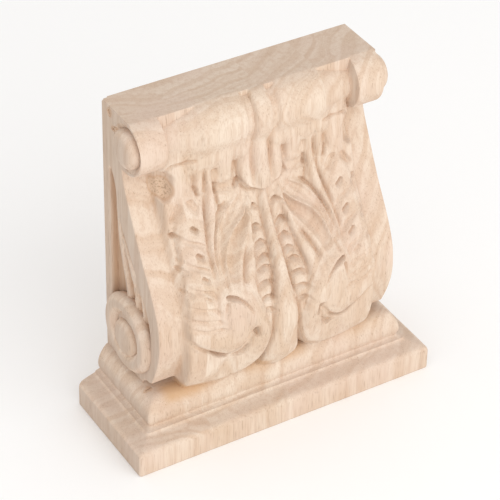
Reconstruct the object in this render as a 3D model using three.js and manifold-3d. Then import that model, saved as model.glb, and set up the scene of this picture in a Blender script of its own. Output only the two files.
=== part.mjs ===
// A carved wooden shelf bracket: an acanthus corbel on a moulded foot, cut from one glued-up block.
// Millimetres, +Z up, the front towards -Y. The origin is on the floor, in the middle of the foot.
import * as THREE from "three";
import { mergeVertices } from "three/addons/utils/BufferGeometryUtils.js";
import Module from "manifold-3d";

// Driving dimensions.
const height = 200; // floor to the flat top
const footWidth = 191;
const footDepth = 73.2;
const footBand = 14.4; // upright face at the very bottom
const footHeight = 36.5; // floor to the top of the moulding
const bodyWidth = 151; // across the two plain side bands
const bellyDepth = 60.2; // back to the fullest point of the side bands
const topDepth = 30.6; // back to the front edge of the flat top
const bandWidth = 14; // plain band at each side of the carved panel
const panelRise = 9; // how far the carved panel stands in front of the bands
const rollRadius = 16.9;
const rollForward = 24.6; // back to the axis of the roll
const rollDrop = 16.4; // flat top down to the axis of the roll
const buttonRadius = 13; // the round button on each end of the roll
const buttonProud = 5.2; // how far a button stands out
const buttonShift = [2.6, 1.4]; // from the axis of the roll, forward and up
const voluteRadius = 27.5;
const voluteProud = 2.2; // how far the low volute stands out of each side
const recessDepth = 5; // sunk ground of the carved sides
const topEdge = 1.2; // softened front edge of the flat top
const footEdge = 0.5; // softened edge under the foot
const finest = 4.4; // narrowest slope that a stroke of the carving has in the solid

// The carving was drawn on a body 150 wide, 60.2 deep and 200 high, and keeps its proportions on any other.
const drawn = { half: 75, depth: 60.2, height: 200 };
const across = bodyWidth / 2 / drawn.half;
const out = bellyDepth / drawn.depth;
const up = height / drawn.height;

const backY = footDepth / 2;
const bodyHalf = bodyWidth / 2;
const rollZ = height - rollDrop;

const clamp = THREE.MathUtils.clamp;
const lerp = THREE.MathUtils.lerp;
const smooth = THREE.MathUtils.smoothstep;

// The value at t, from 0 to 1, along a list of values that are evenly spread.
function along(values, t) {
  if (!Array.isArray(values)) return values;
  const place = clamp(t, 0, 1) * (values.length - 1);
  const i = Math.min(Math.floor(place), values.length - 2);
  return lerp(values[i], values[i + 1], place - i);
}

// A smooth line through [place, value] pairs, read at any place between them.
function curveThrough(pairs) {
  const slope = pairs.map((p, i) => {
    const a = pairs[Math.max(i - 1, 0)];
    const b = pairs[Math.min(i + 1, pairs.length - 1)];
    return (b[1] - a[1]) / (b[0] - a[0]);
  });
  return (place) => {
    const s = clamp(place, pairs[0][0], pairs[pairs.length - 1][0]);
    const i = clamp(pairs.findIndex((p) => p[0] >= s) - 1, 0, pairs.length - 2);
    const [a, b] = [pairs[i], pairs[i + 1]];
    const h = b[0] - a[0];
    const t = (s - a[0]) / h;
    const blend = t * t * (3 - 2 * t);
    const tangents = h * t * (1 - t) * (slope[i] * (1 - t) - slope[i + 1] * t);
    return lerp(a[1], b[1], blend) + tangents;
  };
}

// The larger of two heights, with the corner between them rounded over the reach k.
function softMax(a, b, k) {
  const near = Math.max(0, 1 - Math.abs(a - b) / k);
  return Math.max(a, b) + (near * near * k) / 4;
}

// One stroke of the carving: a line across the panel with a height along it and a width on each side.
// Its section falls to nothing at its width, as a soft crest or, where round is set, as a full curve.
function stroke(points, size, inner, outer, round = false) {
  const line = new THREE.SplineCurve(points.map((p) => new THREE.Vector2(...p)));
  const dots = line.getPoints(6 * (points.length - 1));
  return (x, z) => {
    let best = Infinity;
    let t = 0;
    let side = 0;
    for (let i = 0; i + 1 < dots.length; i++) {
      const dx = dots[i + 1].x - dots[i].x;
      const dz = dots[i + 1].y - dots[i].y;
      const px = x - dots[i].x;
      const pz = z - dots[i].y;
      const k = clamp((px * dx + pz * dz) / (dx * dx + dz * dz), 0, 1);
      const d = Math.hypot(px - k * dx, pz - k * dz);
      if (d < best) {
        best = d;
        t = (i + k) / (dots.length - 1);
        side = dx * pz - dz * px;
      }
    }
    const q = best / Math.max(along(side > 0 ? outer : inner, t), finest);
    if (q >= 1) return 0;
    return along(size, t) * (round ? 1 - q * q : (1 - q * q) ** 2);
  };
}

// The side bands in profile: how far in front of the back they stand at each height of the drawing.
const bandProfile = curveThrough([
  [30, 44],
  [42, 50.8],
  [54, 56.2],
  [66, 59.6],
  [76, 60.2],
  [88, 58.4],
  [103, 51.8],
  [122, 40.6],
  [141, 30.9],
  [158, 23],
  [172, 20],
]);

// The acanthus leaf, on its right half, as [across, height] points of the drawing.
const ridges = [
  stroke([[0, 148], [0, 112], [0, 82], [0, 60], [0, 36]], [3, 3.5, 4.5, 5.5, 5.5], 1, [3.5, 4, 7.5, 9, 13], true),
  stroke([[10, 137], [11, 122], [14, 108], [18, 97], [19, 89], [16, 79], [13, 69]], [3.5, 4, 4.5], 1.8, 6),
  stroke([[13, 126], [21, 117], [26, 106], [27, 92]], [2, 4.2, 3.4], 6, 3, true),
  stroke([[10, 140], [22, 130], [30, 120], [34, 106], [35, 96]], [3, 4.8, 3], 7, 3),
  stroke([[31, 150], [33, 138], [38, 124], [40, 108], [38, 99]], [3, 4.2, 2], 4, 4),
  stroke([[38, 97], [30, 92], [21, 85], [14.5, 74], [13.5, 62], [17, 51], [27, 42], [42, 38]], [3, 5, 5.5, 6], 4, 8, true),
  stroke([[57, 70], [46, 66], [36, 62], [28, 62], [26, 72], [31, 84]], [4, 5, 4.5, 3], 9, 9, true),
  stroke([[57, 50], [44, 45], [30, 43]], [5, 6, 5], 11, 11, true),
];
// The outer leaf: three ringed lobes, one above the other, over two longer leaflets.
for (const z of [133, 120, 107]) ridges.push(stroke([[52, z + 4], [42, z - 4]], [4, 4.6, 4], 7.5, 7.5, true));
for (const z of [94, 83]) ridges.push(stroke([[56, z + 3], [38, z - 3]], [4, 4.6, 3], 6.5, 6.5, true));
// The lobes at the top of the outer leaf, and the leaf tip that curls over in the middle.
ridges.push(stroke([[45, 173], [45, 160], [44, 149]], [8, 6.5, 3.5], 9.5, 9.5, true));
ridges.push(stroke([[25, 170], [25, 160], [24, 149]], [7, 5, 3], 8.5, 8.5, true));
ridges.push(stroke([[0, 182], [0, 160], [0, 152]], [13, 10.5, 8], 1, 15.5, true));

// The cuts: the gap beside the midrib, the eye of the scroll, the hollow under the leaf and the pockets.
const cuts = [
  stroke([[4, 140], [5, 118], [8, 96], [11, 82], [10, 66], [12, 50], [16, 36]], [1, 2, 3, 7], 3, [5, 5, 7, 4]),
  stroke([[20.5, 76], [20.5, 69]], 6, 3, 3),
  stroke([[29, 54], [38, 54], [48, 59], [57, 62]], [6, 6, 4, 3], 5, 5),
  stroke([[29, 94], [23, 88]], 4, 4, 4),
  stroke([[29, 151], [29, 138]], 5, 4, 4),
  stroke([[57, 163], [57, 153]], 7, 5, 5),
];
for (const z of [132, 119, 107]) cuts.push(stroke([[46.5, z + 2], [45.5, z - 2]], 4.5, 3, 3));

const tallest = (strokes, x, z) => Math.max(...strokes.map((s) => s(x, z)));

// How far the carving stands in front of the band profile, at a place on the drawing.
function carving(x, z) {
  const inPanel = smooth(drawn.half - bandWidth / across - x, 0, 3.6);
  const ground = panelRise - 3 + 2 * (1 - smooth(z, 60, 95));
  const relief = ground + tallest(ridges, x, z) - tallest(cuts, x, z);
  const underCut = 7 * (1 - smooth(z, 39.5, 42.5));
  return relief * inPanel - underCut * (1 - inPanel);
}

// The roll's radius across the body: strap, groove, roll, cove and the drum at the end.
function rollSize(x) {
  const a = Math.abs(x) / across;
  const groove = 2.5 * smooth(a, 4.5, 6.5) * (1 - smooth(a, 8.5, 11));
  const cove = 6 * smooth(a, 38, 42) * (1 - smooth(a, 56.5, 60));
  return rollRadius + 0.8 * (1 - smooth(a, 3.5, 5.5)) - groove - cove;
}

// The front of the body up to the roll's axis, as a distance in front of the back.
function frontAt(x, z) {
  const a = Math.abs(x) / across;
  const panel = out * (bandProfile(z / up) + carving(a, z / up));
  const r = rollSize(x);
  const roll = rollForward + Math.sqrt(Math.max(r * r - (z - rollZ) ** 2, 0));
  return Math.abs(z - rollZ) < r ? softMax(panel, roll, 2) : panel;
}

// A closed body from rings of [x, y, z] points, all of one count, stacked from the bottom up.
// Each four-sided face is split along the diagonal that passes nearer the surface at its middle.
function stack(rings, surfaceY = () => 0) {
  const n = rings[0].length;
  const points = rings.flat();
  const miss = (p, q) => {
    const [x, y, z] = points[p].map((v, k) => (v + points[q][k]) / 2);
    return Math.abs(y - surfaceY(x, z));
  };
  const index = [];
  for (let j = 0; j + 1 < rings.length; j++)
    for (let i = 0; i < n; i++) {
      const a = j * n + i;
      const b = j * n + ((i + 1) % n);
      const [c, d] = [b + n, a + n];
      index.push(...(miss(a, c) <= miss(b, d) ? [a, b, c, a, c, d] : [a, b, d, b, c, d]));
    }
  const cap = (ring, start, flip) => {
    const flat = ring.map((p) => new THREE.Vector2(p[0], p[1]));
    for (const face of THREE.ShapeUtils.triangulateShape(flat, []))
      index.push(...(flip ? [face[0], face[2], face[1]] : face).map((k) => start + k));
  };
  cap(rings[0], 0, true);
  cap(rings[rings.length - 1], (rings.length - 1) * n, false);
  const geometry = new THREE.BufferGeometry();
  geometry.setAttribute("position", new THREE.Float32BufferAttribute(points.flat(), 3));
  geometry.setIndex(index);
  return geometry;
}

const steps = (from, to, count) => Array.from({ length: count + 1 }, (_, i) => lerp(from, to, i / count));

// The columns of the body's rings, across the front. The sides and the back are flat.
const panelHalf = bodyHalf - bandWidth * across;
const frontX = [-bodyHalf, -panelHalf - 1.5, ...steps(-panelHalf, panelHalf, 56), panelHalf + 1.5, bodyHalf];

// Each row of the body gives the front's [distance, height] at a place across.
const bodyRows = steps(footHeight - 6, rollZ, 51).map((z) => (x) => [frontAt(x, z), z]);
for (const share of steps(0, 1, 5).slice(1))
  bodyRows.push((x) => {
    const r = rollSize(x);
    const turn = share * Math.acos((topDepth - rollForward) / r);
    const under = height - topEdge - 0.3 + 0.2 * share;
    return [rollForward + r * Math.cos(turn), Math.min(rollZ + r * Math.sin(turn), under)];
  });
bodyRows.push(() => [topDepth, height - topEdge]);
bodyRows.push(() => [topDepth - topEdge, height]);

function bodyRing(row) {
  const front = frontX.map((x) => [x, backY - row(x)[0], row(x)[1]]);
  const z = row(bodyHalf)[1];
  return [...front, [bodyHalf, backY, z], [-bodyHalf, backY, z]];
}

// The foot in profile: how far it stands out of the body, from the floor up.
const footStep = (footWidth - bodyWidth) / 2;
const footProfile = [
  [footStep - footEdge, 0],
  [footStep, footEdge],
  [footStep, footBand - 1],
  [footStep - 1.2, footBand + 0.8],
  [footStep - 4.4, footBand + 1.9],
  [footStep - 9.4, footBand + 3.3],
  [footStep - 12, footBand + 4.4],
  [footStep - 13.4, footBand + 6.2],
  [footStep - 12.8, footBand + 8.6],
  [footStep - 12.8, footBand + 12.6],
  [footStep - 14.6, footBand + 17.6],
  [footStep - 17.6, footHeight - 1.2],
  [footStep - 22, footHeight],
];
function footRing([proud, z]) {
  const halfX = bodyHalf + proud;
  const frontY = backY - footDepth + footStep - proud;
  const r = 1.5;
  const corner = steps(0, Math.PI / 2, 3).map((a) => [halfX - r + r * Math.sin(a), frontY + r - r * Math.cos(a), z]);
  const mirrored = corner.map(([x, y]) => [-x, y, z]).reverse();
  return [...mirrored, ...corner, [halfX, backY, z], [-halfX, backY, z]];
}

const wasm = await Module();
wasm.setup();

function solid(geometry) {
  const bare = geometry.clone();
  bare.deleteAttribute("normal");
  bare.deleteAttribute("uv");
  const merged = mergeVertices(bare, 1e-3);
  const vertProperties = new Float32Array(merged.attributes.position.array);
  const triVerts = new Uint32Array(merged.index.array);
  return new wasm.Manifold(new wasm.Mesh({ numProp: 3, vertProperties, triVerts }));
}

function geometryOf(manifold) {
  const mesh = manifold.getMesh();
  const geometry = new THREE.BufferGeometry();
  geometry.setAttribute("position", new THREE.Float32BufferAttribute(mesh.vertProperties, 3));
  geometry.setIndex(new THREE.BufferAttribute(mesh.triVerts, 1));
  geometry.computeVertexNormals();
  return geometry;
}

// A round piece on one side of the body, turned about an axis that runs across.
function turned(profile, side, forward, z, segments) {
  const geometry = new THREE.LatheGeometry(profile, segments);
  geometry.rotateZ(side > 0 ? -Math.PI / 2 : Math.PI / 2);
  geometry.translate(side * bodyHalf, backY - forward, z);
  return geometry;
}

// The round button on the end of the roll: a low dome over a narrow neck, turned about the roll's axis.
function button(side) {
  const neck = buttonRadius - 2;
  const profile = [
    [0, -8],
    [neck, -8],
    [neck, 1],
    [buttonRadius, buttonProud * 0.4],
    [buttonRadius, buttonProud * 0.7],
    [buttonRadius * 0.75, buttonProud],
    [0, buttonProud + 0.6],
  ].map(([r, s]) => new THREE.Vector2(r, s));
  return turned(profile, side, rollForward + buttonShift[0], rollZ + buttonShift[1], 24);
}

// The low volute on each side: a boss inside a ring, turned about its own axis.
const voluteAt = [20 * out, 54 * up];
function volute(side) {
  const share = (r, s) => new THREE.Vector2(r * voluteRadius, s);
  const profile = [
    share(0, -2),
    share(0.96, -2),
    share(1, voluteProud * 0.3),
    share(0.9, voluteProud * 0.9),
    share(0.72, voluteProud),
    share(0.6, voluteProud * 0.6),
    share(0.5, voluteProud * 0.2),
    share(0.42, voluteProud),
    share(0.22, voluteProud * 1.35),
    share(0, voluteProud * 1.4),
  ];
  return turned(profile, side, voluteAt[0], voluteAt[1], 28);
}

// The sunk ground of a side lies between the strip along the back and the inner edge of the scroll's ribbon.
const ribbonInside = curveThrough([[60, 50], [78, 49], [95, 42], [112, 30], [135, 15.5], [150, 13], [162, 9]]);
function sideGround(side) {
  const strip = 6;
  const [low, high] = [66, 160];
  const outline = steps(low, high, 22).map((z) => [ribbonInside(z), z]);
  outline.push([strip, high], [strip, low]);
  const shape = new THREE.Shape(outline.map(([forward, z]) => new THREE.Vector2(forward * out, z * up)));
  const geometry = new THREE.ExtrudeGeometry(shape, { depth: 2 * recessDepth, bevelEnabled: false });
  // The shape's first axis runs forward, its second up and its depth across.
  const forward = new THREE.Vector3(0, -1, 0);
  const upward = new THREE.Vector3(0, 0, 1);
  const outward = new THREE.Vector3(-1, 0, 0);
  geometry.applyMatrix4(new THREE.Matrix4().makeBasis(forward, upward, outward));
  geometry.translate(side > 0 ? bodyHalf + recessDepth : recessDepth - bodyHalf, backY, 0);
  return geometry;
}

// The leaf sprig that stands in the sunk ground: overlapping leaflets along a leaning stem.
function sprig(side) {
  const stem = new THREE.SplineCurve([[17, 130], [20, 115], [27, 100], [33, 86]].map((p) => new THREE.Vector2(...p)));
  return [0.05, 0.4, 0.8].map((t, i) => {
    const place = stem.getPoint(t);
    const leaflet = new THREE.SphereGeometry(1, 10, 8);
    leaflet.scale(recessDepth * 0.9, 5 + 2.5 * i, 12);
    leaflet.rotateX(0.3);
    leaflet.translate(side * (bodyHalf - recessDepth), backY - place.x * out, place.y * up);
    return solid(leaflet);
  });
}

const block = (low, high) => {
  const size = high.map((v, i) => v - low[i]);
  const middle = high.map((v, i) => (v + low[i]) / 2);
  return solid(new THREE.BoxGeometry(...size).translate(...middle));
};

const frontY = (x, z) => backY - (z < rollZ ? frontAt(x, z) : topDepth);
let bracket = solid(stack(bodyRows.map(bodyRing), frontY));
for (const side of [1, -1]) {
  bracket = bracket.subtract(solid(sideGround(side)));
  for (const leaflet of sprig(side)) bracket = bracket.add(leaflet);
  bracket = bracket.add(solid(volute(side))).add(solid(button(side)));
}
bracket = bracket.add(solid(stack(footProfile.map(footRing))));
bracket = bracket.subtract(block([-footWidth, backY, -1], [footWidth, backY + voluteRadius, height + 1]));

const wood = new THREE.MeshStandardMaterial({ color: 0xe6cdb2, roughness: 0.8, metalness: 0 });
const carvedBracket = new THREE.Mesh(geometryOf(bracket), wood);
carvedBracket.name = "carved_bracket";

const group = new THREE.Group();
group.add(carvedBracket);
export default group;
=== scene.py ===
# %% [markdown]
# # A carved wooden shelf bracket
# One block of pale timber carries an acanthus leaf on its front, scrolls on its sides and a moulded
# foot. It could be sculpted with brushes, but then nobody could read a size in it or change one.
# Here every form is a formula or a short list of numbers. Each cell makes one part of it, in the
# order a carver would: the leaf, the body, the sides, the foot, and then the look of the raw wood.

import bpy
import numpy as np
from mathutils import Matrix, Vector


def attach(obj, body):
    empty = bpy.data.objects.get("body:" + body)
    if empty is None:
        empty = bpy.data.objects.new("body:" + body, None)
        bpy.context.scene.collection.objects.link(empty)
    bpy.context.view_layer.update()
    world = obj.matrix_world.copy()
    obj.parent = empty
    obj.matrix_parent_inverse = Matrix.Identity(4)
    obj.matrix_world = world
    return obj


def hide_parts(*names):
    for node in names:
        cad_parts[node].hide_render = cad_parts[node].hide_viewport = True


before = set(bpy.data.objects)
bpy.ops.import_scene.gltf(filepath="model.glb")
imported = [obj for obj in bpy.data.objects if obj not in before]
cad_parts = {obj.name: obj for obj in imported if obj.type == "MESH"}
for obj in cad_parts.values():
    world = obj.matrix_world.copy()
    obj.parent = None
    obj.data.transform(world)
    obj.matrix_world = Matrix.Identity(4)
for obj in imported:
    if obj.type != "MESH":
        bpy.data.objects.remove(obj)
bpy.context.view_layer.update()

# %% [markdown]
# ## Sizes
# All sizes are in millimetres and become metres when a mesh is made. The front looks towards -Y and
# the floor is at z = 0. Only the sizes that every part needs stand here; each part brings its own.

# %% Sizes
HEIGHT = 200.0
FOOT_WIDTH, FOOT_DEPTH, FOOT_HEIGHT = 191.0, 73.2, 36.5
BODY_WIDTH = 151.0
BAND_WIDTH = 14.0
HALF = BODY_WIDTH / 2
BACK_Y = FOOT_DEPTH / 2
print("a block of", FOOT_WIDTH, "by", FOOT_DEPTH, "by", HEIGHT, "mm, its body", BODY_WIDTH, "wide")

# %% [markdown]
# ## Curves
# Nearly every edge of a carving is a curve. Blender has curve objects, but curves kept as numbers are
# easier to add up and compare. These helpers work on whole arrays: a soft step, a line of values, a
# smooth path through points, a smooth line through pairs, and a soft corner between two heights.

# %% Curves
def soft_step(v, low, high):
    """0 below low, 1 above high, and three t squared minus two t cubed between them."""
    t = np.clip((v - low) / (high - low), 0, 1)
    return t * t * (3 - 2 * t)


def along(values, t):
    """The value at t from 0 to 1 on a list of evenly spread values, joined by straight lines."""
    values = np.atleast_1d(np.asarray(values, float))
    return np.interp(t, np.linspace(0, 1, len(values)), values)


def path(points, per_span=6):
    """Points on a smooth path: on each span a cubic whose end slopes are half the step between
    the neighbours on either side."""
    p = np.asarray(points, float)
    p = np.vstack([p[:1], p, p[-1:]])
    a, b, c, d = (p[i : len(p) - 3 + i, None] for i in range(4))
    t = np.linspace(0, 1, per_span, endpoint=False)[None, :, None]
    start, end = (c - a) / 2, (d - b) / 2
    cubed, squared = 2 * b - 2 * c + start + end, 3 * c - 3 * b - 2 * start - end
    curve = cubed * t**3 + squared * t**2 + start * t + b
    return np.vstack([curve.reshape(-1, 2), p[-1:]])


def curve_through(pairs):
    """A smooth line through place and value pairs: the same kind of cubic, read at any place."""
    p = np.asarray(pairs, float)
    after = np.minimum(np.arange(len(p)) + 1, len(p) - 1)
    before = np.maximum(np.arange(len(p)) - 1, 0)
    slope = (p[after, 1] - p[before, 1]) / (p[after, 0] - p[before, 0])

    def read(place):
        s = np.clip(place, p[0, 0], p[-1, 0])
        i = np.clip(np.searchsorted(p[:, 0], s) - 1, 0, len(p) - 2)
        h = p[i + 1, 0] - p[i, 0]
        t = (s - p[i, 0]) / h
        bend = h * t * (1 - t) * (slope[i] * (1 - t) - slope[i + 1] * t)
        return p[i, 1] + (p[i + 1, 1] - p[i, 1]) * t * t * (3 - 2 * t) + bend

    return read


def soft_max(a, b, reach):
    """The larger of two heights, with the corner between them filled over the reach."""
    near = np.maximum(0, 1 - np.abs(a - b) / reach)
    return np.maximum(a, b) + near * near * reach / 4


# %% [markdown]
# ## Strokes
# A carver makes a leaf from gouge passes, and here it is built from strokes. A stroke follows a smooth
# path over the panel. A ridge has a top along its path and falls away on each side; a cut has a
# depth along its path and gets shallower on each side. A painted height picture could do the same,
# but a stroke keeps its numbers, so one of them can be moved without touching the others.

# %% Strokes
def nearest(x, z, points):
    """For each place: the distance to the path, how far along it that is from 0 to 1, and which
    side it is on (positive on the left of the way it runs)."""
    dots = path(points)
    best = np.full(x.shape, np.inf)
    place = np.zeros(x.shape)
    side = np.zeros(x.shape)
    count = len(dots) - 1
    for i, (a, b) in enumerate(zip(dots[:-1], dots[1:])):
        step = b - a
        px, pz = x - a[0], z - a[1]
        k = np.clip((px * step[0] + pz * step[1]) / (step @ step), 0, 1)
        d = np.hypot(px - k * step[0], pz - k * step[1])
        closer = d < best
        best = np.where(closer, d, best)
        place = np.where(closer, (i + k) / count, place)
        side = np.where(closer, step[0] * pz - step[1] * px, side)
    return best, place, side


class Stroke:
    """One stroke: its path, a size along it, and a width on its right and on its left side."""

    slack = 2.0  # how far the smooth path may swing past its points

    def __init__(self, points, size, right, left, fall=3.0, bend=2.0):
        self.points, self.size, self.right, self.left = points, size, right, left
        self.fall, self.bend = np.broadcast_to(fall, 2), bend

    def reading(self, x, z):
        """Where the stroke reaches, its size there, its side, and q, which is the distance from the
        path over the width: 0 on the path and 1 where the stroke ends."""
        reach = max(np.max(self.right), np.max(self.left)) + self.slack
        p = np.asarray(self.points, float)
        low, high = p.min(0) - reach, p.max(0) + reach
        inside = (x > low[0]) & (x < high[0]) & (z > low[1]) & (z < high[1])
        d, t, side = nearest(x[inside], z[inside], self.points)
        q = d / np.where(side > 0, along(self.left, t), along(self.right, t))
        return inside, along(self.size, t), q, side

    def raised(self, ground, x, z):
        """The ground, or the ridge where it is higher: its top less its fall times q to the bend."""
        inside, size, q, side = self.reading(x, z)
        fall = np.where(side > 0, self.fall[1], self.fall[0])
        ridge = np.where(q < 1, size - fall * q**self.bend, -np.inf)
        out = ground.copy()
        out[inside] = np.maximum(out[inside], ridge)
        return out

    def sunk(self, ground, x, z):
        """The ground less the cut: its depth times one minus q to the bend."""
        inside, size, q, _ = self.reading(x, z)
        out = ground.copy()
        out[inside] -= np.where(q < 1, size * (1 - np.minimum(q, 1) ** self.bend), 0)
        return out


# %% [markdown]
# ## The leaf
# An acanthus leaf fills the panel: a midrib, a half on each side that fans out and curls into a
# scroll, and a tip that rolls over under the top. These strokes draw the right half, as distance from
# the middle and height above the floor, with their tops counted in front of the plain side bands.
# The left half is the same turned over, which halves the list and keeps the two alike.

# %% Midrib and blades of the fan
midrib = Stroke([[0, 150], [0, 118], [0, 95], [0, 76], [0, 60], [0, 46], [0, 34]],
                [9.5, 10, 11.5, 14, 15, 15.5, 13.5], [2.6, 2.8, 4.2, 6.8, 8, 10.6, 12.5],
                [2.6, 2.8, 4.2, 6.8, 8, 10.6, 12.5], fall=3.2)
pillows = Stroke([[5.5, 142], [6.5, 122], [8, 106], [11, 93], [12.5, 85], [11, 78]],
                 [6, 6.2, 6.8, 7.8, 9, 9.6], 6, 6, fall=3)
border = Stroke([[10, 140], [12, 126], [14.5, 116], [17.5, 107], [20.3, 99], [21, 91], [19.8, 84],
                 [17, 77]],
                [9.5, 9.5, 10, 10.5, 11.5, 13.5, 15, 15], [1.2, 1.5, 2.4, 3.4, 4, 4.4, 4.4, 4.2],
                [1.2, 1.4, 2.2, 3, 3.4, 3.6, 4, 4], fall=2.6)
inner_blade = Stroke([[9.5, 137], [11.5, 130], [14, 124.3], [17, 120.3], [20.4, 116], [23.4, 111.3],
                      [26, 106], [28, 99], [28, 93]],
                     [9, 9.5, 9.5, 9.5, 9.5, 10, 11, 13.5, 15], [2, 2.4, 2.6, 2.8, 3, 3, 3, 3, 2.6],
                     [1.1, 1.2, 1.3, 1.3, 1.3, 1.3, 1.5, 2, 2.6], fall=[1.6, 6.5], bend=1.5)
middle_blade = Stroke([[9.5, 138], [13.1, 134.4], [16.7, 131.4], [20.5, 129], [24.2, 126.4],
                       [27.7, 122.9], [30.4, 118.6], [32.4, 112.5], [33.2, 105], [32.5, 97]],
                      [10, 11.5, 12, 12, 12, 12, 12, 12, 13, 15.5],
                      [1.5, 4, 7.5, 9.5, 10, 9.5, 8.5, 6.5, 4.5, 3.5], 1.1, fall=[8.5, 4.5],
                      bend=0.75)
outer_blade = Stroke([[13, 144], [18.8, 140.2], [23.2, 137], [26.6, 133.4], [29.6, 129.6],
                      [32.6, 125], [35, 118], [36.3, 110], [36.6, 102], [36, 97]],
                     [9, 9.5, 10, 10, 10, 10, 10.5, 11, 12.5, 14.5],
                     [3, 6, 8, 8, 7.5, 6.5, 5, 4, 3.5, 3], 1.1, fall=[2.8, 3.5], bend=0.8)
web = Stroke([[13, 142], [21, 130], [27, 118], [30, 104]], [7.6, 8.2, 8.6, 9.6], [12, 12, 11, 9],
             [12, 12, 11, 9], fall=2)

# %% Outer leaf and scroll
stem = Stroke([[31.8, 166], [31.4, 154], [31.6, 143], [33.2, 134], [36.3, 125], [38.2, 116],
               [38.6, 107], [38.4, 100]],
              [16, 12.4, 11, 10.5, 10.5, 11, 11.5, 13], [2.4, 2.4, 2.4, 2.4, 2.2, 2, 2, 2],
              [2.6, 3, 3.6, 3.4, 2.4, 1.8, 1.8, 1.8], fall=2.5)
outer_leaf = Stroke([[45.5, 152], [46.5, 136], [47, 120], [48, 104], [48.5, 88], [48, 74]],
                    [11, 11.4, 11.6, 11.8, 11.6, 11.4], [10, 9.4, 8.8, 9.4, 11, 14],
                    [8.5, 8.6, 9.4, 10, 10, 10.5], fall=3.6)
curl = Stroke([[36, 99], [29.5, 94], [24.5, 87], [21.8, 79]], [14.5, 16.2, 16.4, 15.5], 9,
              [6, 8, 9, 8], fall=5)
lower_leaf = Stroke([[33, 94], [31.5, 84], [30.5, 74], [31, 66], [36, 62]],
                    [15, 14.6, 13.8, 13, 12], [9, 10, 10, 9, 7],
                    [9, 9.5, 9.5, 8, 7], fall=3.4)
big_lobe = Stroke([[58, 80], [52, 75.4], [44, 70.6], [37, 68], [31, 69.5]],
                  [10, 11.4, 12.4, 13, 13.4], 8, [5, 6, 7.2, 8, 7.5], fall=[2, 2.6])
scroll = Stroke([[20.5, 82], [17, 76], [14.8, 70], [14, 62], [15.4, 54], [19.4, 47], [27, 42.5],
                 [38, 41], [49, 44], [57, 49]],
                [15.5, 15.6, 15.4, 15, 14.6, 14, 13.4, 12.8, 12, 10.8],
                [3.4, 3.6, 4.2, 4.4, 4.6, 5.8, 8, 9.5, 12, 14],
                [3, 3.4, 7, 9, 10, 11, 13, 15, 17, 18], fall=[4.2, 2.8])
gap_floor = Stroke([[9, 80], [9.2, 70], [10, 60], [12.6, 50]], [9, 10.6, 11, 10.4], 4.5, 4.5,
                   fall=2)

# %% Lobes under the roll
# From the outer edge to the middle, and the leaf tip that curls over.
apron = Stroke([[8, 170], [38, 170]], 17, [9, 11], 6, fall=[4, 2])
top_lobe = Stroke([[49, 171], [48.4, 161], [46.5, 152]], [15.6, 15, 12.6], [7.5, 8, 8], [8.5, 9, 8],
                  fall=[2.4, 3.4])
top_fold = Stroke([[37.6, 168], [37.2, 159], [39, 150]], [16.4, 14.4, 12], 3.4, 3.4, fall=2.4)
top_pleat = Stroke([[22, 168], [21.4, 161], [20.8, 155.5]], [17, 15.4, 13], [5.6, 5.4, 5],
                   [6, 5.4, 5], fall=[2.4, 2.4])
tip = Stroke([[0, 184], [0, 172], [0, 163], [0, 156]], [20, 16.8, 17, 16], [8, 10.5, 14.2, 14.2],
             [8, 10.5, 14.2, 14.2], fall=3.8)
ridges = [web, gap_floor, pillows, midrib, border, inner_blade, middle_blade, outer_blade, stem,
          outer_leaf, curl, lower_leaf, big_lobe, scroll, apron, top_lobe, top_fold, top_pleat, tip]
print(len(ridges), "ridges")

# %% [markdown]
# ## The cuts
# Between the ridges the carver sinks narrow grooves, small eyes and deep slots, which give the leaf its
# shadows. They are taken away after all the ridges stand, so that a groove runs on over several of
# them without a break.

# %% Gap beside the midrib and lines between the blades
cuts = [
    Stroke([[3.2, 140], [3.6, 118], [5.2, 96], [7.6, 80], [8.2, 70], [8.6, 60], [10.8, 50],
            [13.5, 42], [15.5, 35]],
           [0.8, 1, 1.5, 2.4, 2.4, 2, 2, 4, 7], 1.1, [1.2, 1.2, 1.3, 1.5, 1.5, 1.5, 1.8, 3, 4.5],
           bend=1.5),
    Stroke([[12.5, 119], [16.7, 114], [20.2, 109.5], [23, 103.5], [24.4, 98], [24.4, 92]],
           [0.6, 1.2, 1.5, 1.5, 1.2, 0.6], 1.5, 1.5),
]

# %% Hollows of the fan
# One on each side of the middle blade, then the lines along the stem.
cuts += [
    Stroke([[11, 136], [13, 131], [16.4, 126.4], [20, 122.6], [24, 118], [27.2, 113], [29.2, 107.5],
            [30.2, 101]],
           [0.5, 2, 3.4, 4, 3.8, 3.4, 2.6, 1], [1, 2, 3, 3.6, 3.6, 3.2, 2.6, 1.8],
           [1, 2.4, 4, 5, 5, 4.4, 3.2, 2]),
    Stroke([[14, 140], [18, 137], [22, 134], [25.6, 131], [28.6, 127.4], [31.2, 123.4], [33.4, 118],
            [34.8, 111], [35.2, 104]],
           [0.6, 1.8, 2.6, 2.8, 2.6, 2.2, 1.8, 1.4, 0.8],
           [1, 1.8, 2.4, 2.6, 2.6, 2.2, 1.8, 1.5, 1.2], [1, 2, 3, 3.4, 3.2, 2.8, 2, 1.6, 1.2]),
    Stroke([[23.5, 138.6], [27.4, 135.2], [31, 130.6], [34, 124.5], [36.6, 117], [37.4, 109],
            [37.2, 101]],
           [1.5, 3, 2.6, 2, 1.8, 1.5, 1], 1.1, 1.3),
    Stroke([[35.2, 146], [35.7, 140], [37.6, 131], [39.6, 122], [40.2, 114], [39.8, 106],
            [38.8, 99]],
           [1.5, 2.2, 2.2, 2, 1.8, 1.5, 1], 1.2, 1.3),
    Stroke([[28.4, 146], [27.6, 140], [26.2, 135.5]], [2, 2.4, 1], 1.2, 1.2, bend=2),
]

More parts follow.
